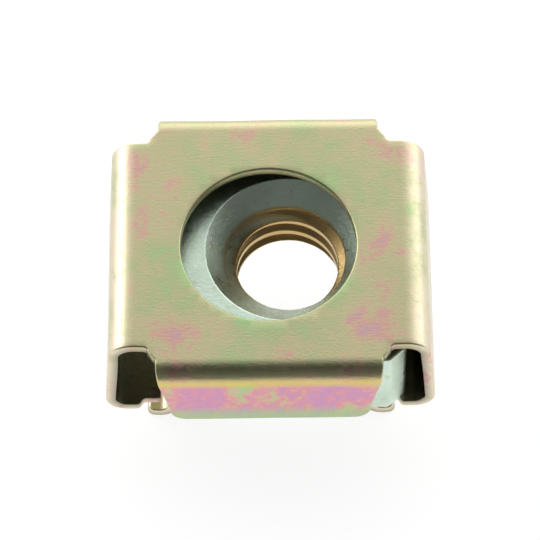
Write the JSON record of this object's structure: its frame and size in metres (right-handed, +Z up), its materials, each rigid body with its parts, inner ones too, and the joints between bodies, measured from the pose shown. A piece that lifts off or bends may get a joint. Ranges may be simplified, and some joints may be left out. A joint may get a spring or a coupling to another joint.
{
  "type": "rack cage nut",
  "caption": "Square nut held loosely in a folded spring-steel cage whose ears clip into a square rack hole.",
  "frame": {"origin": "centre of the round hole in the cage's plate, on the plate's upper face", "axes": "+Z up through that hole, away from the panel; +X towards one wing of the cage, +Y towards one flap; -Y faces the viewer"},
  "size_m": [0.0164, 0.0154, 0.0092],
  "materials": {
    "cage": "satin yellow chromate over zinc, iridescent",
    "nut": "smooth clear zinc, pale green sheen"
  },
  "bodies": {
    "root": {"cage": "cage", "nut": "nut"}
  },
  "joints": []
}
